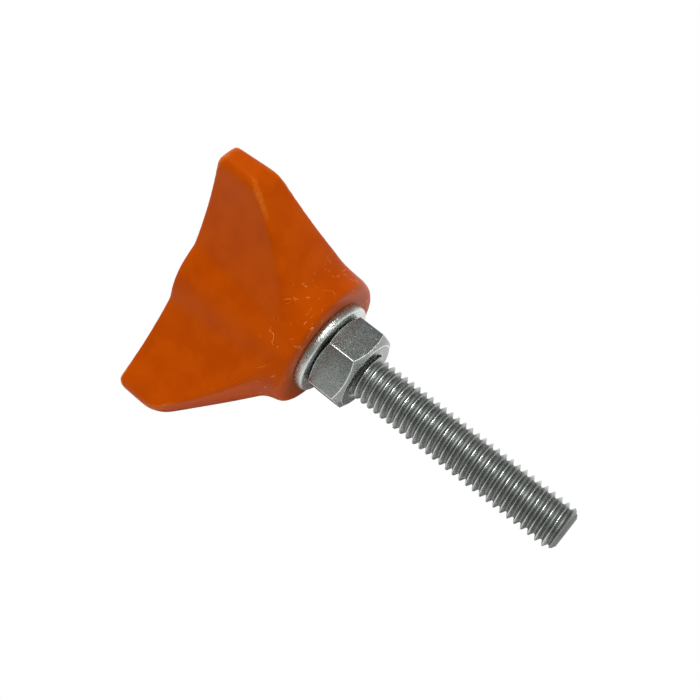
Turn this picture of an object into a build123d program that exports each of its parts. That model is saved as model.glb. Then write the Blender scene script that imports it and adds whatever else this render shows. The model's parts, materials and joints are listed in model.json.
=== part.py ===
from build123d import *
import os
from math import asin, cos, hypot, radians, sqrt, tan

# A clamping screw: a moulded head with three wings, an M6 stud set in the head,
# and a flat washer and a hexagon nut run up tight against the head's base.
#
# Everything is first built in the screw's own frame: the stud's axis is Z and
# points away from the head, and the head's base lies in the plane z = 0. At the
# end the whole screw is laid down as it comes to rest, on two wing tips and the
# stud's end. All sizes are in millimetres and all angles in degrees.

# ---- driving dimensions: the head -------------------------------------------
HEAD_HEIGHT = 18.3           # base to the flat outer end
HUB_END_RADIUS = 8.9         # round hub at the outer end
HUB_BASE_RADIUS = 9.1        # round hub at the base, wider by the mould's draft
OUTER_RIM_BEVEL = 0.6        # all round the outline of the outer end
BASE_RIM_BEVEL = 0.7         # round the hub's base

WING_COUNT = 3
TIP_RADIUS = 20.2            # axis to a wing's flat tip
TIP_WIDTH = 3.1              # thickness of a wing at its tip, at the outer end
TIP_HEIGHT = 6.1             # outer end to where the tip gives way to the slope
UNDERSIDE_SETBACK = 2.2      # base to where the slope under a wing meets the hub
HUB_STEP_END = 1.1           # hub over the hollow between two wings, at the outer end
HUB_STEP_BASE = 0.1          # the same at the base, where the wings are thicker
TIP_CORNER_ROUND = 1.35      # the tip's two corners, seen along the axis
WING_EDGE_ROUND = 1.0        # along a wing's sloping underside
WING_ROOT_FILLET = 1.8       # where a wing runs into the hub

# ---- driving dimensions: the metal parts ------------------------------------
THREAD_RADIUS = 3.0          # M6, over the crests
THREAD_PITCH = 1.0           # M6, coarse
STUD_FREE_LENGTH = 36.3      # base of the head to the stud's end
STUD_SET_DEPTH = 13.7        # length moulded into the head
STUD_CHAMFER = 0.9           # both ends of the stud

WASHER_RADIUS = 6.25
WASHER_THICKNESS = 1.2
WASHER_BORE_CLEARANCE = 0.2  # round the stud
WASHER_BEVEL = 0.25          # both rims of the washer's outside

NUT_ACROSS_FLATS = 10.0
NUT_HEIGHT = 5.1
NUT_CHAMFER_ANGLE = 30.0     # cone of the cut corners, from the nut's faces
NUT_FACE_SETBACK = 0.5       # flats to the rim of each round face
NUT_MOUTH_CLEARANCE = 0.2    # round the crests, at both mouths of the nut
NUT_TURN = 27.5              # a corner's bearing where the nut came up tight

# ---- sizes that follow from them --------------------------------------------
WING_STEP = 360.0 / WING_COUNT
FLANK_DEPTH = HUB_END_RADIUS - HUB_STEP_END
FLANK_BASE_DEPTH = HUB_BASE_RADIUS - HUB_STEP_BASE
PITCH_RADIUS = THREAD_RADIUS - 0.375 * sqrt(3) / 2 * THREAD_PITCH
WASHER_BORE_RADIUS = THREAD_RADIUS + WASHER_BORE_CLEARANCE
NUT_FACE_RADIUS = NUT_ACROSS_FLATS / 2 - NUT_FACE_SETBACK
NUT_CORNER_RADIUS = NUT_ACROSS_FLATS / sqrt(3)
NUT_MOUTH_RADIUS = THREAD_RADIUS + NUT_MOUTH_CLEARANCE
NUT_FACE_HEIGHT = WASHER_THICKNESS + NUT_HEIGHT
WALL_SHARE = 0.45            # most of a wall's thickness that one round may take
TOUCH = 0.02                 # how near counts as lying on a face


def turned(*points):
    """The solid turned about the screw's axis from a side view's radii and heights."""
    outline = Polyline([(radius, 0, height) for radius, height in points], close=True)
    return revolve(make_face(outline), Axis.Z)


def hub():
    """The tapered round hub of the head, its rims still sharp."""
    return turned(
        (0, -HEAD_HEIGHT),
        (HUB_END_RADIUS, -HEAD_HEIGHT),
        (HUB_BASE_RADIUS, 0),
        (0, 0),
    )


def flank_radius():
    """Radius of the arc that runs down one wing's flank and up the next one's.

    The arc passes its nearest to the axis halfway between two wings and ends at
    a corner of each wing's tip.
    """
    corner_bearing = radians(WING_STEP / 2) - asin(TIP_WIDTH / 2 / TIP_RADIUS)
    reach = TIP_RADIUS * cos(corner_bearing)
    chord_squared = FLANK_DEPTH**2 + TIP_RADIUS**2 - 2 * FLANK_DEPTH * reach
    return chord_squared / 2 / (reach - FLANK_DEPTH)


def hollow():
    """The slender cone that hollows out the flanks on either side of bearing 0."""
    radius = flank_radius()
    distance = FLANK_DEPTH + radius
    cone = turned(
        (0, -HEAD_HEIGHT),
        (radius, -HEAD_HEIGHT),
        (distance - FLANK_BASE_DEPTH, 0),
        (0, 0),
    )
    return Pos(distance, 0) * cone


def underside_height(radius):
    """Height of a wing's sloping underside, which runs from the tip to the hub."""
    run = TIP_RADIUS - HUB_BASE_RADIUS
    rise = HEAD_HEIGHT - TIP_HEIGHT - UNDERSIDE_SETBACK
    return TIP_HEIGHT - HEAD_HEIGHT + (TIP_RADIUS - radius) * rise / run


def star():
    """The ring of wings, rounded down the tips and along the sloping undersides.

    Seen along the axis, it is a disc with a hollow between each wing and the next.
    Seen from the side, a wing is flat at the outer end and the tip and slopes back
    to the hub underneath. The star is where these two views meet.
    """
    disc = Pos(0, 0, -HEAD_HEIGHT / 2) * Cylinder(TIP_RADIUS, HEAD_HEIGHT)
    for index in range(WING_COUNT):
        disc -= Rot(0, 0, index * WING_STEP) * hollow()
    corner_round = min(TIP_CORNER_ROUND, WALL_SHARE * TIP_WIDTH)
    disc = fillet([edge for edge in disc.edges() if is_tip_corner(edge)], corner_round)

    slope_foot = TIP_RADIUS + WING_EDGE_ROUND
    side_view = turned(
        (0, -HEAD_HEIGHT),
        (slope_foot, -HEAD_HEIGHT),
        (slope_foot, underside_height(slope_foot)),
        (0, underside_height(0)),
    )
    blank = disc & side_view
    return fillet([edge for edge in blank.edges() if is_underside(edge)], WING_EDGE_ROUND)


def stud():
    """The stud: a bar over the thread's crests, on the shank it was rolled from.

    The free length is at the crests' radius. From the nut inwards it is at the
    thread's pitch radius, where two threads that are screwed together meet, and
    which is also the radius of the plain shank held in the head.
    """
    bar = turned(
        (0, -STUD_SET_DEPTH),
        (PITCH_RADIUS - STUD_CHAMFER, -STUD_SET_DEPTH),
        (PITCH_RADIUS, STUD_CHAMFER - STUD_SET_DEPTH),
        (PITCH_RADIUS, NUT_FACE_HEIGHT),
        (THREAD_RADIUS, NUT_FACE_HEIGHT),
        (THREAD_RADIUS, STUD_FREE_LENGTH - STUD_CHAMFER),
        (THREAD_RADIUS - STUD_CHAMFER, STUD_FREE_LENGTH),
        (0, STUD_FREE_LENGTH),
    )
    return bar


def at_outer_end(edge):
    """Whether an edge lies in the flat outer end of the head."""
    return (edge @ 0.5).Z < TOUCH - HEAD_HEIGHT


def at_base(edge):
    """Whether an edge lies in the base of the head."""
    return (edge @ 0.5).Z > -TOUCH


def is_tip_corner(edge):
    """Whether an edge is one of the two that run down a wing's tip."""
    middle = edge @ 0.5
    on_tip = hypot(middle.X, middle.Y) > TIP_RADIUS - TOUCH
    return on_tip and not at_outer_end(edge) and not at_base(edge)


def is_underside(edge):
    """Whether an edge runs round the sloping underside of a wing."""
    middle = edge @ 0.5
    on_slope = abs(middle.Z - underside_height(hypot(middle.X, middle.Y))) < TOUCH
    return on_slope and not at_base(edge)


def on_hub_side(edge):
    """Whether an edge lies on the hub's tapered side, where the wings meet it."""
    middle = edge @ 0.5
    share = (middle.Z + HEAD_HEIGHT) / HEAD_HEIGHT
    radius = HUB_END_RADIUS + share * (HUB_BASE_RADIUS - HUB_END_RADIUS)
    if at_base(edge) or at_outer_end(edge) or edge.geom_type == GeomType.LINE:
        return False
    return abs(hypot(middle.X, middle.Y) - radius) < TOUCH


def head():
    """The hub with its ring of wings, its roots hollowed and its rims eased.

    The hollow round each wing's root comes first. It leaves the outline of the
    outer end smooth all the way round, so one bevel can then run along it.
    """
    body = hub() + star()
    body = fillet([edge for edge in body.edges() if on_hub_side(edge)], WING_ROOT_FILLET)
    body = chamfer([edge for edge in body.edges() if at_outer_end(edge)], OUTER_RIM_BEVEL)
    body = chamfer([edge for edge in body.edges() if at_base(edge)], BASE_RIM_BEVEL)
    return body - stud()


def washer():
    """The flat washer against the head's base."""
    ring = Circle(WASHER_RADIUS) - Circle(WASHER_BORE_RADIUS)
    disc = extrude(ring, WASHER_THICKNESS)
    rims = disc.edges().filter_by(GeomType.CIRCLE).sort_by(SortBy.RADIUS)[-2:]
    return chamfer(rims, WASHER_BEVEL)


def nut():
    """The hexagon nut: a hexagon bar cut by a turned outline with two cones."""
    bar = extrude(RegularPolygon(NUT_CORNER_RADIUS, 6), NUT_HEIGHT)
    cone_height = (NUT_CORNER_RADIUS - NUT_FACE_RADIUS) * tan(radians(NUT_CHAMFER_ANGLE))
    mouth_depth = NUT_MOUTH_RADIUS - PITCH_RADIUS
    blank = turned(
        (PITCH_RADIUS, mouth_depth),
        (NUT_MOUTH_RADIUS, 0),
        (NUT_FACE_RADIUS, 0),
        (NUT_CORNER_RADIUS, cone_height),
        (NUT_CORNER_RADIUS, NUT_HEIGHT - cone_height),
        (NUT_FACE_RADIUS, NUT_HEIGHT),
        (NUT_MOUTH_RADIUS, NUT_HEIGHT),
        (PITCH_RADIUS, NUT_HEIGHT - mouth_depth),
    )
    return Pos(0, 0, WASHER_THICKNESS) * Rot(0, 0, NUT_TURN) * (bar & blank)


def lowest(solid, tilt):
    """Height of a solid's lowest point once the screw is laid down and tilted."""
    return (Rot(0, 90 + tilt, 0) * solid).bounding_box().min.Z


def rest_tilt(body, bar):
    """The stud's dip below level, where the wings and the stud's end touch alike.

    The dip is halved in on: too little and the wings are lower, too much and the
    stud's end is.
    """
    low = 0.0
    high = 45.0
    while high - low > 0.001:
        tilt = (low + high) / 2
        if lowest(bar, tilt) > lowest(body, tilt):
            low = tilt
        else:
            high = tilt
    return (low + high) / 2


pieces = {
    "wing_head": head(),
    "threaded_stud": stud(),
    "washer": washer(),
    "hex_nut": nut(),
}

# ---- laid down: the stud along +X, the third wing up, the floor at z = 0 ----
tilt = rest_tilt(pieces["wing_head"], pieces["threaded_stud"])
laid = {name: Rot(0, 90 + tilt, 0) * piece for name, piece in pieces.items()}
box = laid["wing_head"].bounding_box()
for piece in laid.values():
    box = box.add(piece.bounding_box())
place = Pos(-box.center().X, 0, -box.min.Z)

os.makedirs("parts", exist_ok=True)
for name, piece in laid.items():
    placed = place * piece
    placed.label = name
    export_step(placed, f"parts/{name}.step")
    print(name, "volume", round(placed.volume, 2), "mm3")
print("stud's dip below level", round(tilt, 3), "degrees")
print("base of the head on the axis", [round(v, 4) for v in place.position])
print("size", [round(v, 3) for v in box.size])
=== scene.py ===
# %% [markdown]
# # A wing screw, dressed for its close-up
#
# The object is a clamping screw that is tightened by hand. It has four pieces:
# a moulded orange head with three wings, a steel stud with an M6 thread, a flat
# washer, and a hexagon nut that locks them together.
#
# The CAD model gives the places and the sizes. Each cell below first says what
# a piece or a finish is on the real screw, and then makes it.

# %% Load the frame
import json
import math

import bpy
import numpy as np
from mathutils import Matrix, Vector


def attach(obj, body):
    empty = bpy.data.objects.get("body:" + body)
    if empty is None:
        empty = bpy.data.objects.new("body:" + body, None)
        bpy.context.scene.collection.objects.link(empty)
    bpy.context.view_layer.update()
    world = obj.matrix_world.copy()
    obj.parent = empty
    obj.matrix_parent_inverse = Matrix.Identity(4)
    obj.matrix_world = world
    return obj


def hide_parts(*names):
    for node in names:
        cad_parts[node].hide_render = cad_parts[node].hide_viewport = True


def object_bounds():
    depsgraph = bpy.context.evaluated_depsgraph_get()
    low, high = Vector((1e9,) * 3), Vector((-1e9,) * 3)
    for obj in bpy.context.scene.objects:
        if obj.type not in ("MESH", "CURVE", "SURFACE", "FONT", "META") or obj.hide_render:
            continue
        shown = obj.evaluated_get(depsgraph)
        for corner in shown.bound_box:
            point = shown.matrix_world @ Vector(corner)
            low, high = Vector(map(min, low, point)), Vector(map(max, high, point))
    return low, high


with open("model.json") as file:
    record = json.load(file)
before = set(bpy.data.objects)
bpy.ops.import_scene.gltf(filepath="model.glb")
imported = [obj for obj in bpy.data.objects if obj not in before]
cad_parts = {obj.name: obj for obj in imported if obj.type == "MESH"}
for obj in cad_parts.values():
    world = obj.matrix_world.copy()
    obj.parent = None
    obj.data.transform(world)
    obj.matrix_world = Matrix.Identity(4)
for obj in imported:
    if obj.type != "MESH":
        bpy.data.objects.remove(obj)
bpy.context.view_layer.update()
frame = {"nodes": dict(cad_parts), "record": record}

MM = 0.001
print("nodes:", sorted(frame["nodes"]))

# %% [markdown]
# The screw lies tilted, on two wing tips and the stud's end. Modelling on a
# tilt would be hard to follow, so every piece is made upright at the origin:
# the stud's axis is Z, and the head's base is at height zero. A matrix then
# lays each finished piece down. It comes from the record's own mounts, so the
# pieces can't drift from the CAD model.

# %% The screw's own frame
STUD_FREE_LENGTH = 36.3 * MM

mounts = {mount["name"]: mount for mount in frame["record"]["mounts"]}
along = Vector(mounts["stud"]["axis"]).normalized()
across = Vector((0, 1, 0))
down = across.cross(along)
stud_end = Vector(mounts["stud_end"]["pos_m"])
head_base = stud_end - along * STUD_FREE_LENGTH
nut_face = (Vector(mounts["nut_face"]["pos_m"]) - head_base).dot(along)

lay_down = Matrix((down, across, along)).transposed().to_4x4()
lay_down.translation = head_base
print("dip of the stud:", round(math.degrees(math.asin(-along.z)), 2), "degrees")
print("outer face of the nut:", round(nut_face / MM, 2), "mm from the head")

# %% [markdown]
# Blender's operators act on whatever is selected, and the CAD nodes start out
# selected. These helpers keep every step on one piece.

# %% Helpers for one piece at a time
MERGE_GAP = 0.002 * MM


def pick(piece):
    """Selects this piece alone."""
    if bpy.context.object:
        bpy.ops.object.mode_set(mode="OBJECT")
    bpy.ops.object.select_all(action="DESELECT")
    bpy.context.view_layer.objects.active = piece
    piece.select_set(True)


def start(name):
    """Names the primitive that was just added and returns it."""
    piece = bpy.context.object
    piece.name = piece.data.name = name
    return piece


def modify(piece, kind, **settings):
    """Adds a modifier to a piece and applies it at once."""
    pick(piece)
    modifier = piece.modifiers.new(kind.title(), kind)
    for setting, value in settings.items():
        setattr(modifier, setting, value)
    bpy.ops.object.modifier_apply(modifier=modifier.name)


def carve(piece, tool, operation):
    """Joins a tool to a piece or keeps what they share, and clears the tool away."""
    modify(piece, "BOOLEAN", operation=operation, object=tool, solver="EXACT")
    bpy.data.objects.remove(tool)


def heal(piece):
    """Merges doubled points and turns every face outwards."""
    pick(piece)
    bpy.ops.object.mode_set(mode="EDIT")
    bpy.ops.mesh.select_all(action="SELECT")
    bpy.ops.mesh.remove_doubles(threshold=MERGE_GAP)
    bpy.ops.mesh.delete_loose()
    bpy.ops.mesh.select_all(action="SELECT")
    bpy.ops.mesh.normals_make_consistent(inside=False)
    bpy.ops.object.mode_set(mode="OBJECT")


def count_faces(piece):
    """Prints how many faces a piece has."""
    print(piece.name, "has", len(piece.data.polygons), "faces")


# %% [markdown]
# Most of the pieces are turned: the hub, the washer, the cones of the nut. On a
# lathe the section stays the same and the work goes round. Here a small face is
# shrunk to a point, the point is pulled along the section, and Spin sweeps the
# chain that it leaves round the axis.

# %% Draw a chain, and turn it
CHAIN_GAP = 0.001 * MM


def draw(name, points, closed=False):
    """A chain of edges through these points, left open in edit mode."""
    bpy.ops.object.select_all(action="DESELECT")
    bpy.ops.mesh.primitive_plane_add(size=MM, location=(0, 0, 0))
    piece = start(name)
    bpy.ops.object.mode_set(mode="EDIT")
    bpy.ops.mesh.merge(type="CENTER")
    here = Vector(points[0])
    bpy.ops.transform.translate(value=here)
    for there in points[1:] + (points[:1] if closed else []):
        step = Vector(there) - here
        bpy.ops.mesh.extrude_vertices_move(TRANSFORM_OT_translate={"value": step})
        here = Vector(there)
    bpy.ops.mesh.select_all(action="SELECT")
    bpy.ops.mesh.remove_doubles(threshold=CHAIN_GAP)
    return piece


def turn(name, section, steps=128):
    """A solid of revolution from a half section of (radius, height) corners."""
    piece = draw(name, [(radius, 0, height) for radius, height in section], closed=True)
    bpy.ops.mesh.spin(steps=steps, angle=2 * math.pi, center=(0, 0, 0), axis=(0, 0, 1))
    bpy.ops.object.mode_set(mode="OBJECT")
    heal(piece)
    return piece


# %% [markdown]
# ## The shapes
#
# The stud's thread is one ridge wound round a core. A die rolls it, so the
# crests are slightly rounded and the roots are smooth. A thread that is only
# painted on with bump gives itself away at the outline, so this one is real: a
# single tooth is drawn from root to root, and the Screw modifier winds it
# upwards by one pitch in each turn. It starts low and ends high, and both ends
# are then cut off level.

# %% Wind the thread
PITCH = 1.0 * MM
ROOT_RADIUS = 2.39 * MM
CREST_RADIUS = 2.975 * MM
STUD_STEPS = 60
START_BELOW = 1.5 * PITCH
SPARE_TURNS = 2
CUT_GAP = 0.0001 * MM
# A corner of the tooth has its height as a share of the pitch, and then how far
# it stands out as a share of the tooth's depth.
TOOTH = [
    (0.000, 0.00), (0.100, 0.02), (0.155, 0.10), (0.415, 0.90), (0.455, 0.98),
    (0.500, 1.00), (0.545, 0.98), (0.585, 0.90), (0.845, 0.10), (0.900, 0.02),
    (1.000, 0.00),
]


def thread(name, bottom, top):
    """A right-hand thread about Z, cut level at both ends and closed."""
    depth = CREST_RADIUS - ROOT_RADIUS
    foot = bottom - START_BELOW
    turns = math.ceil((top - bottom) / PITCH) + SPARE_TURNS
    piece = draw(name, [
        (ROOT_RADIUS + depth * rise, 0, foot + PITCH * up) for up, rise in TOOTH
    ])
    bpy.ops.object.mode_set(mode="OBJECT")
    modify(
        piece, "SCREW", axis="Z", angle=2 * math.pi, screw_offset=PITCH,
        iterations=turns, steps=STUD_STEPS, render_steps=STUD_STEPS,
    )
    bpy.ops.object.mode_set(mode="EDIT")
    bpy.ops.mesh.select_all(action="SELECT")
    bpy.ops.mesh.remove_doubles(threshold=MERGE_GAP)
    for height, upward in ((bottom, False), (top, True)):
        bpy.ops.mesh.select_all(action="SELECT")
        bpy.ops.mesh.bisect(
            plane_co=(0, 0, height), plane_no=(0, 0, 1), use_fill=True,
            clear_inner=not upward, clear_outer=upward, threshold=CUT_GAP,
        )
    bpy.ops.object.mode_set(mode="OBJECT")
    heal(piece)
    return piece


THREAD_START = 0.2 * MM

stud = thread("stud_thread", THREAD_START, STUD_FREE_LENGTH)
count_faces(stud)

# %% [markdown]
# A threaded bar starts as a blank with its end turned to a blunt cone. The
# crests fade out over that cone. Keeping only what the wound thread and the
# blank have in common gives the same end. The plain shank below it is what the
# plastic of the head grips.

# %% Point the stud and give it its shank
BLANK_RADIUS = 3.0 * MM
END_BEVEL = 0.95 * MM
CONE_INSET = 0.6 * END_BEVEL
NOSE_INSET = 1.1 * END_BEVEL
NOSE_HEIGHT = 0.25 * END_BEVEL
SHANK_RADIUS = 2.675 * MM
SHANK_DEPTH = 13.7 * MM
SHANK_BEVEL = 0.5 * MM
SHANK_OVERLAP = 0.4 * MM

carve(stud, turn("blank", [
    (0, -PITCH),
    (BLANK_RADIUS, -PITCH),
    (BLANK_RADIUS, STUD_FREE_LENGTH - END_BEVEL),
    (BLANK_RADIUS - CONE_INSET, STUD_FREE_LENGTH - NOSE_HEIGHT),
    (BLANK_RADIUS - NOSE_INSET, STUD_FREE_LENGTH),
    (0, STUD_FREE_LENGTH),
]), "INTERSECT")
carve(stud, turn("shank", [
    (0, -SHANK_DEPTH),
    (SHANK_RADIUS - SHANK_BEVEL, -SHANK_DEPTH),
    (SHANK_RADIUS, -SHANK_DEPTH + SHANK_BEVEL),
    (SHANK_RADIUS, THREAD_START + SHANK_OVERLAP),
    (0, THREAD_START + SHANK_OVERLAP),
], steps=STUD_STEPS), "UNION")
count_faces(stud)

# %% [markdown]
# The washer is punched from sheet. The punch draws one rim of the disc round
# and leaves the other crisp, so its section has a large soft corner towards the
# nut and a small one towards the head.

# %% Turn the washer
WASHER_BORE_RADIUS = 3.2 * MM
WASHER_RADIUS = 6.25 * MM
WASHER_THICKNESS = 1.2 * MM
CRISP_ROUND = 0.12 * MM
DRAWN_ROUND = 0.34 * MM


def rounded(before, corner, after, radius, points=6):
    """Points along the arc that rounds the corner between two other points."""
    before, corner, after = Vector(before), Vector(corner), Vector(after)
    back, ahead = (before - corner).normalized(), (after - corner).normalized()
    half_angle = back.angle(ahead) / 2
    centre = corner + (back + ahead).normalized() * radius / math.sin(half_angle)
    first = corner + back * radius / math.tan(half_angle) - centre
    last = corner + ahead * radius / math.tan(half_angle) - centre
    spread = first.angle(last)
    arc = []
    for index in range(points):
        share = index / (points - 1)
        left = math.sin((1 - share) * spread) / math.sin(spread)
        right = math.sin(share * spread) / math.sin(spread)
        arc.append(tuple(centre + first * left + last * right))
    return arc


inner_low, inner_high = (WASHER_BORE_RADIUS, 0), (WASHER_BORE_RADIUS, WASHER_THICKNESS)
outer_low, outer_high = (WASHER_RADIUS, 0), (WASHER_RADIUS, WASHER_THICKNESS)
washer = turn("flat_washer", [
    inner_low,
    *rounded(inner_low, outer_low, outer_high, CRISP_ROUND),
    *rounded(outer_low, outer_high, inner_high, DRAWN_ROUND),
    inner_high,
])
count_faces(washer)

# %% [markdown]
# A hexagon nut is cut from hexagon bar. Turning a shallow cone on both faces
# takes off the six sharp corners and leaves the curved edge that every nut has
# on its flats. So a six-sided prism is kept only where it lies inside a turned
# shape with two cones, and its bore, with a countersink at each mouth, is part
# of the same turned shape. The bar is made too long and the turned shape a
# little too wide, so that no two faces of the cut lie in one plane.

# %% Cut the nut
ACROSS_FLATS = 10.0 * MM
NUT_HEIGHT = 5.1 * MM
NUT_FACE_RADIUS = 4.5 * MM
NUT_MOUTH_RADIUS = 3.2 * MM
NUT_TURN = math.radians(27.5)
NUT_CONE_ANGLE = math.radians(30)
WIDER = 1.02

corner_radius = ACROSS_FLATS / math.sqrt(3)
section_radius = corner_radius * WIDER
cone_drop = (section_radius - NUT_FACE_RADIUS) * math.tan(NUT_CONE_ANGLE)
mouth_drop = NUT_MOUTH_RADIUS - SHANK_RADIUS
bpy.ops.object.select_all(action="DESELECT")
bpy.ops.mesh.primitive_cylinder_add(
    vertices=6, radius=corner_radius, depth=2 * NUT_HEIGHT, location=(0, 0, 0)
)
nut = start("hexagon_nut")
bpy.ops.object.mode_set(mode="EDIT")
# The first corner of a primitive lies on Y, and the bearing is measured from X.
bpy.ops.transform.rotate(
    value=math.pi / 2 - NUT_TURN, orient_axis="Z", center_override=(0, 0, 0)
)
bpy.ops.transform.translate(value=(0, 0, NUT_HEIGHT / 2))
bpy.ops.object.mode_set(mode="OBJECT")
carve(nut, turn("nut_section", [
    (SHANK_RADIUS, mouth_drop),
    (NUT_MOUTH_RADIUS, 0),
    (NUT_FACE_RADIUS, 0),
    (section_radius, cone_drop),
    (section_radius, NUT_HEIGHT - cone_drop),
    (NUT_FACE_RADIUS, NUT_HEIGHT),
    (NUT_MOUTH_RADIUS, NUT_HEIGHT),
    (SHANK_RADIUS, NUT_HEIGHT - mouth_drop),
]), "INTERSECT")
heal(nut)
print("nut:", round(2 * corner_radius / MM, 2), "mm over the corners of its bar")

# %% [markdown]
# The nut's edges are slightly rounded, and the finish paints them bright, partly
# as the wear of spanners and partly as painted highlight. Bevel gives the round,
# as two rows of narrow faces. Those faces are then marked, so that the finish can
# find them later. A mark on the mesh is surer than a material that looks for
# edges by itself, because it holds in any renderer.

# %% Round the nut's edges, mark them and seat the nut
NUT_EDGE_ROUND = 0.08 * MM
NUT_EDGE_ANGLE = math.radians(24)
NARROW = 0.09 * MM


def mark_narrow(piece, width):
    """Marks the faces narrower than this, which lie along the rounded edges."""
    mesh = piece.data
    edge = mesh.attributes.new("edge", "FLOAT", "FACE")
    for face in mesh.polygons:
        longest = max(
            (mesh.vertices[a].co - mesh.vertices[b].co).length for a, b in face.edge_keys
        )
        edge.data[face.index].value = float(face.area < width * longest)


modify(
    nut, "BEVEL", width=NUT_EDGE_ROUND, segments=2,
    limit_method="ANGLE", angle_limit=NUT_EDGE_ANGLE,
)
mark_narrow(nut, NARROW)
bpy.ops.object.mode_set(mode="EDIT")
bpy.ops.mesh.select_all(action="SELECT")
bpy.ops.transform.translate(value=(0, 0, WASHER_THICKNESS))
bpy.ops.object.mode_set(mode="OBJECT")
count_faces(nut)

# %% [markdown]
# The head is moulded in one shot. Seen from its end it is a star with three
# blunt points: hollow flanks sweep from one wing to the next. The wings are a
# little thicker towards the base, so that the head leaves its mould easily. So
# the star is drawn twice, at the outer end and at the base, and the two outlines
# are bridged.

# %% Draw the star
HEAD_HEIGHT = 18.3 * MM
HUB_END_RADIUS = 8.9 * MM
HUB_BASE_RADIUS = 9.1 * MM
TIP_RADIUS = 20.2 * MM
TIP_WIDTH = 3.1 * MM
TIP_CORNER = 1.35 * MM
FLANK_DEPTH = 7.8 * MM
FLANK_BASE_DEPTH = 9.0 * MM
WING_BEARINGS = (60, 180, 300)
WING_STEP = 120
CORNER_POINTS = 3


def bearing(radius, degrees):
    """A point at a radius and a bearing about the axis, in plan."""
    angle = math.radians(degrees)
    return Vector((radius * math.cos(angle), radius * math.sin(angle)))


corner_bearing = math.radians(WING_STEP / 2) - math.asin(TIP_WIDTH / 2 / TIP_RADIUS)
reach = TIP_RADIUS * math.cos(corner_bearing)
flank_radius = (FLANK_DEPTH**2 + TIP_RADIUS**2 - 2 * FLANK_DEPTH * reach) / (
    2 * (reach - FLANK_DEPTH)
)
flank_distance = FLANK_DEPTH + flank_radius


def flank_after(wing, depth, points=40):
    """The hollow curve from one wing's tip to the next wing's, in plan."""
    radius = flank_distance - depth
    # The curve ends where its circle crosses the circle of the tips.
    cosine = (flank_distance**2 + radius**2 - TIP_RADIUS**2) / (2 * flank_distance * radius)
    swing = math.degrees(math.acos(cosine))
    middle = wing + WING_STEP / 2
    centre = bearing(flank_distance, middle)
    return [
        centre + bearing(radius, middle + 180 + swing * (1 - 2 * index / (points - 1)))
        for index in range(points)
    ]


def star(name, depth, height):
    """The star's outline at one height, as a closed chain."""
    outline = []
    for wing in WING_BEARINGS:
        curve = flank_after(wing, depth)
        tip, next_tip = bearing(TIP_RADIUS, wing), bearing(TIP_RADIUS, wing + WING_STEP)
        outline += rounded(tip, curve[0], curve[1], TIP_CORNER)
        outline += [tuple(point) for point in curve[CORNER_POINTS:-CORNER_POINTS]]
        outline += rounded(curve[-2], curve[-1], next_tip, TIP_CORNER)
    piece = draw(name, [(x, y, height) for x, y in outline], closed=True)
    bpy.ops.object.mode_set(mode="OBJECT")
    return piece


head = star("three_winged_head", FLANK_DEPTH, -HEAD_HEIGHT)
base_outline = star("base_outline", FLANK_BASE_DEPTH, 0)
pick(head)
base_outline.select_set(True)
bpy.ops.object.join()
bpy.ops.object.mode_set(mode="EDIT")
bpy.ops.mesh.select_all(action="SELECT")
bpy.ops.mesh.bridge_edge_loops()
bpy.ops.mesh.select_all(action="SELECT")
bpy.ops.mesh.fill_holes(sides=0)
bpy.ops.object.mode_set(mode="OBJECT")
heal(head)
print("flank radius:", round(flank_radius / MM, 2), "mm")

# %% [markdown]
# Seen from the side, each wing slopes back to the hub underneath, so that
# fingers can reach behind it. The slope starts at a heel under the wing's tip,
# and runs out into the hub through a hollow throat. Three separate cuts would
# have to match, so one turned shape takes the slope off all three wings
# together, and the round hub is then added. The turned shape stops a hair short
# of the star's own end and tips, again to keep faces out of one plane.

# %% Slope the wings and add the hub
TIP_HEIGHT = 6.1 * MM
UNDERSIDE_SETBACK = 2.2 * MM
TOE_ROUND = 0.9 * MM
HEEL_ROUND = 3.5 * MM
THROAT_ROUND = 4.8 * MM
BASE_ROUND = 1.2 * MM
END_SKIN = 0.01 * MM
TIP_SKIN = 0.02 * MM

slope = (HEAD_HEIGHT - TIP_HEIGHT - UNDERSIDE_SETBACK) / (TIP_RADIUS - HUB_BASE_RADIUS)
tip_face = TIP_RADIUS - TIP_SKIN
outer_end = END_SKIN - HEAD_HEIGHT


def underside_height(radius):
    """Height of the slope under a wing at this distance from the axis."""
    return -UNDERSIDE_SETBACK - slope * (radius - HUB_BASE_RADIUS)


heel = (tip_face, underside_height(tip_face))
throat = (HUB_BASE_RADIUS, -UNDERSIDE_SETBACK)
side_section = [(0, outer_end)]
side_section += rounded((0, outer_end), (tip_face, outer_end), heel, TOE_ROUND)
side_section += rounded((tip_face, outer_end), heel, throat, HEEL_ROUND)
side_section += rounded(heel, throat, (HUB_BASE_RADIUS, 0), THROAT_ROUND)
side_section += [(0, side_section[-1][1])]
carve(head, turn("side_section", side_section), "INTERSECT")
hub_end, hub_base = (HUB_END_RADIUS, -HEAD_HEIGHT), (HUB_BASE_RADIUS, 0)
hub_section = [(0, -HEAD_HEIGHT), hub_end]
hub_section += rounded(hub_end, hub_base, (0, 0), BASE_ROUND)
carve(head, turn("hub", hub_section + [(0, 0)]), "UNION")
heal(head)
print("slope of the wings:", round(math.degrees(math.atan(slope)), 1), "degrees")

# %% [markdown]
# No edge of a moulded part is sharp. Bevel copes badly where curved cuts meet at
# a slant, as they do here. Rebuilding the surface from small cubes makes its
# mesh even instead, and relaxing an even mesh draws every edge into a small
# round.

# %% Make the mesh even and soften everything
EVEN_STEP = 0.2 * MM
RELAX = 0.5
PASSES_ALL_OVER = 12

modify(head, "REMESH", mode="VOXEL", voxel_size=EVEN_STEP)
modify(head, "SMOOTH", factor=RELAX, iterations=PASSES_ALL_OVER)
count_faces(head)

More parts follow.
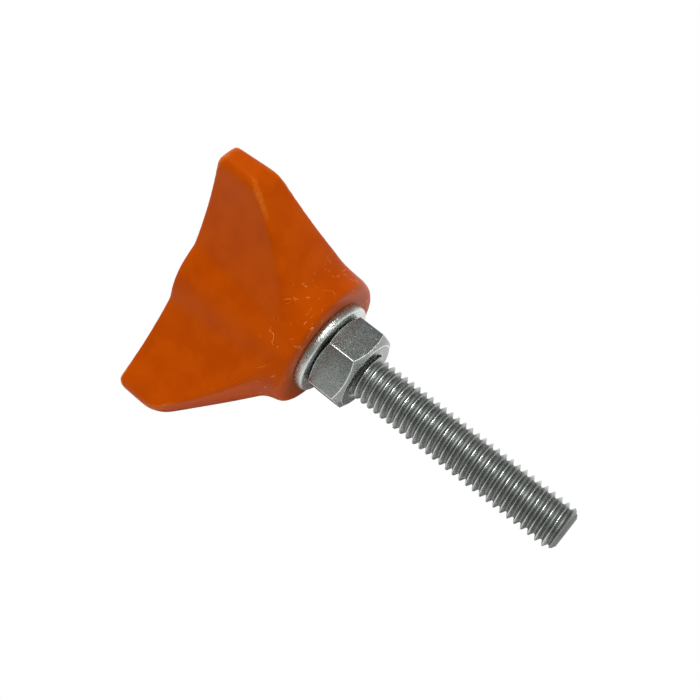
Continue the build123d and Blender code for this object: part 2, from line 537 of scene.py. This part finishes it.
# %% [markdown]
# The rounds aren't all alike. Where the plastic flows from the hub into a wing
# the round is large, along the edges of the slopes it is middling, and the tips
# have only a little more than the rest. So each of these places becomes a vertex
# group, whose weight fades out away from it, and the mesh there is relaxed for
# longer. The rim of the outer end keeps the small round, except at the tips.

# %% Relax the roots, the edges and the tips for longer
PASSES = {"roots": 160, "slope_edges": 35, "tips": 16}
ROOT_REACH = 2.2 * MM
EDGE_REACH = 1.5 * MM
END_RIM = 0.5 * MM


def hub_radius(height):
    """Radius of the hub, which is a little wider at the base."""
    return HUB_BASE_RADIUS + (HUB_BASE_RADIUS - HUB_END_RADIUS) * height / HEAD_HEIGHT


def shares(point):
    """How near a point lies to a wing's root, its slope's edge and its tip, 0 to 1."""
    radius = math.hypot(point.x, point.y)
    off_hub = abs(radius - hub_radius(point.z))
    off_slope = abs(point.z - underside_height(radius)) / math.hypot(1, slope)
    depth = FLANK_BASE_DEPTH + (FLANK_BASE_DEPTH - FLANK_DEPTH) * point.z / HEAD_HEIGHT
    centres = [bearing(flank_distance, wing + WING_STEP / 2) for wing in WING_BEARINGS]
    off_flank = min(
        abs((centre - point.xy).length - flank_distance + depth) for centre in centres
    )
    root = 1 - (off_hub + min(off_slope, off_flank)) / ROOT_REACH
    edge = 1 - (off_slope + off_flank) / EDGE_REACH
    tip = (radius - TIP_RADIUS) / EDGE_REACH + 1
    return max(0, root), max(0, edge), max(0, min(1, tip))


groups = {name: head.vertex_groups.new(name=name) for name in PASSES}
for vertex in head.data.vertices:
    on_end = vertex.co.z < END_RIM - HEAD_HEIGHT
    for name, share in zip(PASSES, shares(vertex.co)):
        if share > 0 and (name == "tips" or not on_end):
            groups[name].add([vertex.index], share, "REPLACE")
for name, passes in PASSES.items():
    modify(head, "SMOOTH", factor=RELAX, iterations=passes, vertex_group=name)
print("relaxed again:", PASSES)

# %% [markdown]
# Edges that stand out are the ones that get scuffed, and the finish paints
# highlights on them too. On an even mesh they are easy to find: a vertex on a flat
# lies in the middle of its neighbours, and one on an edge lies above it. How far
# above, over the square of the step, is how sharply the surface bends there. The
# value is stored on the mesh for the finish.

# %% Find the edges that stand out
def mark_bends(piece):
    """Stores how sharply the surface bends outwards, in 1/mm, at each vertex."""
    mesh = piece.data
    count = len(mesh.vertices)
    places, normals = np.empty(count * 3), np.empty(count * 3)
    pairs = np.empty(len(mesh.edges) * 2, dtype=np.int32)
    mesh.vertices.foreach_get("co", places)
    mesh.vertex_normals.foreach_get("vector", normals)
    mesh.edges.foreach_get("vertices", pairs)
    places, normals, pairs = places.reshape(-1, 3), normals.reshape(-1, 3), pairs.reshape(-1, 2)
    around, number = np.zeros((count, 3)), np.zeros(count)
    for here, there in (pairs.T, pairs.T[::-1]):
        np.add.at(around, here, places[there])
        np.add.at(number, here, 1)
    lift = ((places - around / number[:, None]) * normals).sum(axis=1)
    bends = 4 * lift / EVEN_STEP**2 * MM
    mesh.attributes.new("bend", "FLOAT", "POINT").data.foreach_set("value", bends)
    return bends


bends = mark_bends(head)
print("bend, 1/mm:", [round(float(np.percentile(bends, p)), 3) for p in (1, 50, 90, 97, 99.5)])

# %% [markdown]
# ## The finishes
#
# A finish is a chain of small steps: a noise, a threshold, a mix of two colours.
# Wiring each by hand hides the idea, so a few helpers add a node and link what
# goes into it in one line.

# %% Node helpers
def node(tree, kind, inputs=None, **settings):
    """Adds a node. An input is a number, a colour or another node's output."""
    made = tree.nodes.new("ShaderNode" + kind)
    for setting, value in settings.items():
        setattr(made, setting, value)
    for name, value in (inputs or {}).items():
        if isinstance(value, bpy.types.NodeSocket):
            tree.links.new(value, made.inputs[name])
        else:
            made.inputs[name].default_value = value
    return made


def math_of(tree, operation, first, second):
    """One sum, difference, product or quotient."""
    return node(tree, "Math", {0: first, 1: second}, operation=operation).outputs[0]


def ramp(tree, value, start, end, low=0.0, high=1.0):
    """Maps a value from one range to another, smoothly, and holds it there."""
    inputs = {"Value": value, "From Min": start, "From Max": end, "To Min": low, "To Max": high}
    return node(tree, "MapRange", inputs, interpolation_type="SMOOTHSTEP").outputs["Result"]


def tint(tree, share, first, second):
    """A colour between two others."""
    made = node(tree, "Mix", {0: share}, data_type="RGBA")
    for index, colour in ((6, first), (7, second)):
        if isinstance(colour, bpy.types.NodeSocket):
            tree.links.new(colour, made.inputs[index])
        else:
            made.inputs[index].default_value = (*colour, 1)
    return made.outputs[2]


def noise(tree, vector, size, detail, roughness=0.5):
    """Soft noise whose blobs are about this large."""
    scale = math_of(tree, "DIVIDE", 1.0, size)
    inputs = {"Vector": vector, "Scale": scale, "Detail": detail, "Roughness": roughness}
    return node(tree, "TexNoise", inputs).outputs["Fac"]


# %% [markdown]
# Two node groups serve all the materials, so that what they share is built only
# once. The sockets of a group are part of its interface. The inputs take each
# material's own values, and the outputs are masks that change over the surface.

# %% Group helpers
def new_group(name, inputs, outputs):
    """An empty group with these float sockets, the values that come in, and its end."""
    tree = bpy.data.node_groups.new(name, "ShaderNodeTree")
    for socket in inputs:
        tree.interface.new_socket(socket, in_out="INPUT", socket_type="NodeSocketFloat")
    for socket in outputs:
        tree.interface.new_socket(socket, in_out="OUTPUT", socket_type="NodeSocketFloat")
    return tree, tree.nodes.new("NodeGroupInput").outputs, tree.nodes.new("NodeGroupOutput")


def use_group(tree, group, values):
    """Places a shared group in a material with its own values, and returns its outputs."""
    made = tree.nodes.new("ShaderNodeGroup")
    made.node_tree = group
    for name, value in values.items():
        made.inputs[name].default_value = value
    return made.outputs


# %% [markdown]
# The first group finds where a point lies on the screw: how far from the stud's
# axis, and how far along it. The painted shade in the roots of the thread and
# round the washer, and the pale scuffs and painted highlights on the tips of the
# wings, all need that. It reads Object coordinates and stands them up again with
# a Mapping node. Its input is the unit that both distances are counted in.

# %% Where a point lies on the screw
axis_group, axis_start, axis_end = new_group("place_on_screw", ["Unit"], ["Off Axis", "Along"])
stand_up = lay_down.inverted()
object_place = node(axis_group, "TexCoord").outputs["Object"]
upright = node(axis_group, "Mapping", {
    "Vector": object_place,
    "Location": stand_up.translation,
    "Rotation": stand_up.to_euler(),
}).outputs["Vector"]
split = node(axis_group, "SeparateXYZ", {0: upright})
flat_place = node(axis_group, "CombineXYZ", {0: split.outputs[0], 1: split.outputs[1]})
off_axis = node(axis_group, "VectorMath", {0: flat_place.outputs[0]}, operation="LENGTH")
for length, end in ((off_axis.outputs["Value"], "Off Axis"), (split.outputs[2], "Along")):
    counted = math_of(axis_group, "DIVIDE", length, axis_start["Unit"])
    axis_group.links.new(counted, axis_end.inputs[end])
print("group:", axis_group.name, "with", len(axis_group.nodes), "nodes")

# %% [markdown]
# The second group is the surface itself, seen from close by: soft mottling, fine
# speckle, and a few thin scratches. A scratch is a thin, slightly bent line. The
# borders between Voronoi cells are such lines, once noise has bent them, and a
# second noise lets them show only here and there.

# %% The surface from close by
SPECKLE_ROUGHNESS = 0.65
NOISE_RANGE = 0.3, 0.7
SCRATCH_CELL = 3.2 * MM
SCRATCH_WIDTH = 0.018
SCRATCH_PATCH = 1.1 * MM
SCRATCH_RANGE = 0.54, 0.6
WOBBLE_SIZE = 4 * MM
WOBBLE = 2 * MM

grain_group, grain_start, grain_end = new_group(
    "close_surface", ["Mottle Size", "Speckle Size"], ["Mottle", "Speckle", "Scratch"]
)
place = node(grain_group, "TexCoord").outputs["Object"]
soft = noise(grain_group, place, grain_start["Mottle Size"], detail=3)
fine = noise(
    grain_group, place, grain_start["Speckle Size"], detail=3, roughness=SPECKLE_ROUGHNESS
)
wobble = node(grain_group, "TexNoise", {"Vector": place, "Scale": 1 / WOBBLE_SIZE})
bent = node(grain_group, "VectorMath", {
    0: place, 1: wobble.outputs["Color"], 2: (WOBBLE, WOBBLE, WOBBLE),
}, operation="MULTIPLY_ADD").outputs["Vector"]
cells = node(
    grain_group, "TexVoronoi", {"Vector": bent, "Scale": 1 / SCRATCH_CELL},
    feature="DISTANCE_TO_EDGE",
).outputs["Distance"]
line = ramp(grain_group, cells, 0.0, SCRATCH_WIDTH, 1, 0)
patches = noise(grain_group, place, SCRATCH_PATCH, detail=1)
here_and_there = ramp(grain_group, patches, *SCRATCH_RANGE)
for name, value in (
    ("Mottle", ramp(grain_group, soft, *NOISE_RANGE)),
    ("Speckle", ramp(grain_group, fine, *NOISE_RANGE)),
    ("Scratch", math_of(grain_group, "MULTIPLY", line, here_and_there)),
):
    grain_group.links.new(value, grain_end.inputs[name])
print("group:", grain_group.name, "with", len(grain_group.nodes), "nodes")

# %% [markdown]
# Every material here ends the same way: one Principled shader takes a colour, a
# roughness, and a height that a Bump node turns into tilted normals.

# %% A material's start and end
def shader_of(name, metallic):
    """A new material with its tree and its one shader."""
    material = bpy.data.materials.new(name)
    material.use_nodes = True
    shader = material.node_tree.nodes["Principled BSDF"]
    shader.inputs["Metallic"].default_value = metallic
    return material, material.node_tree, shader


def connect(tree, shader, colour, roughness, height, depth):
    """Links a colour, a roughness and a height in metres to a shader."""
    bump = node(tree, "Bump", {"Height": height, "Distance": depth, "Strength": 1.0})
    tree.links.new(colour, shader.inputs["Base Color"])
    tree.links.new(roughness, shader.inputs["Roughness"])
    tree.links.new(bump.outputs["Normal"], shader.inputs["Normal"])


# %% [markdown]
# The head is moulded plastic, coloured right through in safety orange. It leaves
# the mould with a satin skin that is a little uneven. A darker ring is painted on
# the base round the washer, as painted shade where the washer meets the plastic.
# The base is scratched where nut and washer were turned, and the bent edges at the
# tips of the wings are painted pale, partly as scuffs and partly as painted
# highlight. Each of these is laid over the one before with its own mask. A plain
# plastic mirrors the pale room on every slanted face and goes chalky, so this one
# mirrors less, and in a warm colour.

# %% Orange plastic
ORANGE = (0.47, 0.064, 0.0002)
DEEP_ORANGE = (0.42, 0.053, 0.0001)
RUBBED_ORANGE = (0.86, 0.35, 0.08)
SCUFFED_AND_LIT_ORANGE = (0.72, 0.21, 0.025)
SHADED_ORANGE = (0.19, 0.066, 0.021)
SKIN_IOR = 1.17
SKIN_TINT = (1, 0.4, 0.06, 1)
SKIN_ROUGHNESS = 0.34, 0.44
SKIN_DEPTH = 0.006 * MM
SKIN_SPECKLE = 0.35
# Each pair says where an effect starts and where it is full: in mm off the axis,
# in mm along it (the base is at 0), in 1/mm of bend, or as a share.
WASHER_SHADE_OFF_AXIS = 8.6, 6.4
WASHER_SHADE_ALONG = -1.2, -0.1
WASHER_SHADE_SHARE = 0.5
SCRATCHES_ALONG = -6.0, -1.5
SCRATCH_SHARES = 0.03, 0.9
SCUFF_AND_HIGHLIGHT_BEND = 0.4, 1.2
SCUFF_AND_HIGHLIGHT_OFF_AXIS = 16.5, 18.5
SCUFF_AND_HIGHLIGHT_SPECKLE = 0.2, 0.8
SCUFF_AND_HIGHLIGHT_PATCHES = 0.35, 1.0
SCUFF_AND_HIGHLIGHT_SHARE = 0.6
SCUFF_POLISH = 0.14

plastic, tree, shader = shader_of("orange_plastic", metallic=0)
shader.inputs["IOR"].default_value = SKIN_IOR
shader.inputs["Specular Tint"].default_value = SKIN_TINT
grain = use_group(tree, grain_group, {"Mottle Size": 3 * MM, "Speckle Size": 0.2 * MM})
spot = use_group(tree, axis_group, {"Unit": MM})
colour = tint(tree, grain["Mottle"], DEEP_ORANGE, ORANGE)

# Painted shade: a darker ring on the base round the washer, where the washer meets the plastic.
round_washer = ramp(tree, spot["Off Axis"], *WASHER_SHADE_OFF_AXIS)
on_base = ramp(tree, spot["Along"], *WASHER_SHADE_ALONG)
washer_shade = math_of(tree, "MULTIPLY", round_washer, on_base)
colour = tint(tree, math_of(tree, "MULTIPLY", washer_shade, WASHER_SHADE_SHARE), colour, SHADED_ORANGE)

near_base = ramp(tree, spot["Along"], *SCRATCHES_ALONG)
scratched = ramp(tree, near_base, 0, 1, *SCRATCH_SHARES)
rubbed = math_of(tree, "MULTIPLY", grain["Scratch"], scratched)
colour = tint(tree, rubbed, colour, RUBBED_ORANGE)

# Painted pale on the bent edges near the wing tips: partly scuffs, partly painted highlight.
bend = node(tree, "Attribute", attribute_name="bend").outputs["Fac"]
patchy = ramp(tree, grain["Speckle"], *SCUFF_AND_HIGHLIGHT_SPECKLE, *SCUFF_AND_HIGHLIGHT_PATCHES)
scuffs_and_highlight = math_of(tree, "MULTIPLY", ramp(tree, bend, *SCUFF_AND_HIGHLIGHT_BEND), patchy)
scuffs_and_highlight = math_of(tree, "MULTIPLY", scuffs_and_highlight, ramp(tree, spot["Off Axis"], *SCUFF_AND_HIGHLIGHT_OFF_AXIS))
colour = tint(tree, math_of(tree, "MULTIPLY", scuffs_and_highlight, SCUFF_AND_HIGHLIGHT_SHARE), colour, SCUFFED_AND_LIT_ORANGE)

roughness = ramp(tree, grain["Mottle"], 0, 1, *SKIN_ROUGHNESS)
polish = math_of(tree, "MULTIPLY", scuffs_and_highlight, SCUFF_POLISH)
roughness = math_of(tree, "SUBTRACT", roughness, polish)
speckled = math_of(tree, "MULTIPLY", grain["Speckle"], SKIN_SPECKLE)
height = math_of(tree, "ADD", speckled, grain["Mottle"])
connect(tree, shader, colour, roughness, height, SKIN_DEPTH)
print("material:", plastic.name, "with", len(tree.nodes), "nodes")

# %% [markdown]
# The stud, the washer and the nut are steel with a thin bright coat of zinc.
# Zinc is a cool grey and slightly crystalline, so close up it sparkles. It goes
# dull where air and fingers reach it. Painted shade darkens the roots of the
# thread, with some dirt there too, and painted highlights brighten the crests,
# the washer's rim and the nut's edges, partly as rubbed wear. The washer's copy is
# painted lighter than the other two, as painted light. One function makes all
# three materials. Distances from the axis tell it what is root, crest or rim.

# %% Zinc-plated steel
WORN_AND_LIT_EDGE_ZINC = (0.85, 0.86, 0.84)
LIT_RIM_ZINC = (0.70, 0.72, 0.70)
BRIGHT_AND_HIGHLIGHT_ZINC = (0.52, 0.54, 0.52)
MID_ZINC = (0.37, 0.385, 0.37)
DULL_ZINC = (0.20, 0.21, 0.20)
DIRT_AND_SHADE_ZINC = (0.10, 0.105, 0.10)
ZINC_MOTTLE = 2 * MM
ZINC_ROUGHNESS = 0.22, 0.36
SPECKLE_SHARE = 0.65
ROOT_FADE = 0.3
ROOT_DIRT_AND_SHADE = 0.2
ROOT_ROUGHNESS = 0.3
CUT_END_ALONG = 35.2, 35.5
CUT_END_DIRT = 0.4
CREST_FADE = 0.06
SCRATCH_SHINE = 0.6


def zinc(name, dull, bright, speckle, depth, dark_below=None, bright_above=None, edges=False):
    """Zinc plate, darker below one radius and brighter above another. All are in mm."""
    material, tree, shader = shader_of(name, metallic=1)
    sizes = {"Mottle Size": ZINC_MOTTLE, "Speckle Size": speckle * MM}
    grain = use_group(tree, grain_group, sizes)
    spot = use_group(tree, axis_group, {"Unit": MM})
    fine = math_of(tree, "MULTIPLY", grain["Speckle"], SPECKLE_SHARE)
    soft = math_of(tree, "MULTIPLY", grain["Mottle"], 1 - SPECKLE_SHARE)
    colour = tint(tree, math_of(tree, "ADD", fine, soft), dull, bright)
    roughness = ramp(tree, grain["Speckle"], 0, 1, *ZINC_ROUGHNESS)
    # Painted shade in the thread's roots, with some dirt, and a rougher skin there.
    if dark_below:
        root = ramp(tree, spot["Off Axis"], dark_below, dark_below - ROOT_FADE)
        colour = tint(tree, math_of(tree, "MULTIPLY", root, ROOT_DIRT_AND_SHADE), colour, DIRT_AND_SHADE_ZINC)
        rougher = math_of(tree, "MULTIPLY", root, ROOT_ROUGHNESS)
        roughness = math_of(tree, "ADD", roughness, rougher)
    cut_end = ramp(tree, spot["Along"], *CUT_END_ALONG)
    colour = tint(tree, math_of(tree, "MULTIPLY", cut_end, CUT_END_DIRT), colour, DIRT_AND_SHADE_ZINC)
    # Painted highlight on the thread's crests and the washer's rim, partly rubbed wear.
    if bright_above:
        crest = ramp(tree, spot["Off Axis"], bright_above, bright_above + CREST_FADE)
        colour = tint(tree, crest, colour, BRIGHT_AND_HIGHLIGHT_ZINC)
    scratched = math_of(tree, "MULTIPLY", grain["Scratch"], SCRATCH_SHINE)
    colour = tint(tree, scratched, colour, BRIGHT_AND_HIGHLIGHT_ZINC)
    # The nut's marked edges painted bright: partly spanner wear, partly painted highlight.
    if edges:
        rubbed = node(tree, "Attribute", attribute_name="edge").outputs["Fac"]
        colour = tint(tree, rubbed, colour, WORN_AND_LIT_EDGE_ZINC)
    height = math_of(tree, "SUBTRACT", grain["Speckle"], grain["Scratch"])
    connect(tree, shader, colour, roughness, height, depth * MM)
    print("material:", name, "with", len(tree.nodes), "nodes")
    return material


stud_zinc = zinc(
    "zinc_on_stud", DULL_ZINC, MID_ZINC, speckle=0.16, depth=0.007,
    dark_below=2.75, bright_above=2.90,
)
# The washer's copy of the zinc is painted lighter than the stud's and nut's, as painted light
# on it.
washer_zinc = zinc(
    "zinc_on_washer", BRIGHT_AND_HIGHLIGHT_ZINC, LIT_RIM_ZINC, speckle=0.22, depth=0.018, bright_above=6.15
)
nut_zinc = zinc("zinc_on_nut", DULL_ZINC, MID_ZINC, speckle=0.2, depth=0.014, edges=True)

# %% [markdown]
# ## Putting the screw together
#
# On the bench the stud is moulded into the head, the washer drops over it, and
# the nut is run up tight. Here all four pieces already stand in their places on
# one axis. Each gets its finish, is laid down by the same matrix, takes the
# place of its CAD node and rides on the screw's one body. Faces that meet at a
# small angle are shaded smooth, and true edges stay crisp.

# %% Lay the pieces down
SMOOTH_BELOW = math.radians(32)


def lay(piece, node_name, finish):
    """Smooths a finished piece, lays it down and ties it to the frame."""
    pick(piece)
    bpy.ops.object.shade_smooth_by_angle(angle=SMOOTH_BELOW)
    piece.matrix_world = lay_down
    bpy.ops.object.transform_apply(location=True, rotation=True, scale=True)
    piece.data.materials.clear()
    piece.data.materials.append(finish)
    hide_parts(node_name)
    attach(piece, "root")
    sides = [round(side / MM, 2) for side in piece.dimensions]
    print(piece.name, sides, "mm,", len(piece.data.polygons), "faces")


lay(head, "wing_head", plastic)
lay(stud, "threaded_stud", stud_zinc)
lay(washer, "washer", washer_zinc)
lay(nut, "hex_nut", nut_zinc)

# %% [markdown]
# ## Stage, camera and light
#
# The screw is shown as in a catalogue, alone on white. It still needs something
# to lie on, because light thrown up from below brightens its underside. A broad
# sheet of pale paper does that. The camera doesn't see the sheet, so it leaves
# no shadow and no horizon in the view.

# %% Stage
PAPER_SIZE = 40
PAPER_WHITE = (0.94, 0.94, 0.94, 1)

floor_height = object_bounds()[0][2]
bpy.ops.mesh.primitive_plane_add(size=PAPER_SIZE, location=(0, 0, floor_height))
floor = start("floor")
paper, _, shader = shader_of("paper", metallic=0)
shader.inputs["Base Color"].default_value = PAPER_WHITE
shader.inputs["Roughness"].default_value = 0.9
shader.inputs["Specular IOR Level"].default_value = 0.1
floor.data.materials.append(paper)
floor.visible_camera = False
print("floor at", round(floor_height / MM, 3), "mm")

# %% [markdown]
# The view is a close one, from the side of the head's base and well above it.
# Two wings and the whole length of the stud can be seen. The camera is placed
# by a bearing, a height angle and a distance from the point that it looks at,
# because these can be changed one at a time. A slight roll levels the view.

# %% Camera
CAMERA_BEARING = math.radians(-51.67)
CAMERA_HEIGHT = math.radians(49.32)
CAMERA_DISTANCE = 125.73 * MM
CAMERA_ROLL = math.radians(1.225)
CAMERA_LENS = 53.49
AIM = Vector((-4.47, 0, 10.86)) * MM

toward = Vector((
    math.cos(CAMERA_BEARING) * math.cos(CAMERA_HEIGHT),
    math.sin(CAMERA_BEARING) * math.cos(CAMERA_HEIGHT),
    math.sin(CAMERA_HEIGHT),
))
bpy.ops.object.camera_add(location=AIM + toward * CAMERA_DISTANCE)
camera = bpy.context.object
turned = toward.to_track_quat("Z", "Y").to_matrix() @ Matrix.Rotation(CAMERA_ROLL, 3, "Z")
camera.rotation_euler = turned.to_euler()
camera.data.lens = CAMERA_LENS
camera.data.clip_start = 1 * MM
camera.data.clip_end = 100
bpy.context.scene.camera = camera
print("camera at", [round(c / MM, 2) for c in camera.location], "mm")

# %% [markdown]
# One broad lamp hangs nearly overhead. It is a sun lamp a few degrees wide, so
# its light is as even on the floor far away as near by, and each turn of the
# thread shows one small glint of it. Two softboxes, lower down on the left and
# on the right, draw longer reflections along the steel. The room itself is dim and
# slightly cool, so that the plastic keeps its full colour.

# %% Lamps
OVERHEAD = Vector((-0.06, -0.06, 0.6))
OVERHEAD_WIDTH = math.radians(7)
OVERHEAD_STRENGTH = 2.05
SOFTBOX_DISTANCE = 0.8
SOFTBOX_POWER = 1.6


def aim(lamp):
    """Turns a lamp towards the screw."""
    lamp.rotation_euler = (lamp.location - AIM).to_track_quat("Z", "Y").to_euler()
    print(lamp.name, "at", [round(c, 2) for c in lamp.location], "m")


def softbox(name, direction, width, depth):
    """A rectangular lamp in this direction from the screw, turned towards it."""
    stand = AIM + Vector(direction).normalized() * SOFTBOX_DISTANCE
    bpy.ops.object.light_add(type="AREA", location=stand)
    lamp = start(name)
    lamp.data.shape = "RECTANGLE"
    lamp.data.size = width
    lamp.data.size_y = depth
    lamp.data.energy = SOFTBOX_POWER
    aim(lamp)


bpy.ops.object.light_add(type="SUN", location=AIM + OVERHEAD)
overhead = start("overhead_lamp")
overhead.data.angle = OVERHEAD_WIDTH
overhead.data.energy = OVERHEAD_STRENGTH
aim(overhead)
softbox("left_softbox", (-0.85, 0.25, 0.45), width=0.5, depth=0.2)
softbox("right_softbox", (0.78, 0.25, 0.57), width=0.7, depth=0.14)

# %% [markdown]
# The white behind the screw is not the light that falls on it. A world as white
# as that would wash out every reflection. So the world has two backgrounds, and
# Light Path picks between them: white for what the camera sees directly, and
# dim for everything that lights the screw.

# %% The room and the white behind the screw
ROOM_COLOUR = (0.96, 1.0, 0.98, 1)
ROOM_STRENGTH = 0.37
WHITE = (1, 1, 1, 1)

world = bpy.data.worlds.new("studio")
bpy.context.scene.world = world
world.use_nodes = True
room = world.node_tree
dim = room.nodes["Background"]
dim.inputs["Color"].default_value = ROOM_COLOUR
dim.inputs["Strength"].default_value = ROOM_STRENGTH
backdrop = node(room, "Background", {"Color": WHITE, "Strength": 1.0})
looking = node(room, "LightPath").outputs["Is Camera Ray"]
mixed = node(room, "MixShader", {0: looking, 1: dim.outputs[0], 2: backdrop.outputs[0]})
room.links.new(mixed.outputs[0], room.nodes["World Output"].inputs["Surface"])
bpy.context.scene.view_settings.view_transform = "Standard"
print("room:", ROOM_STRENGTH, "of white")
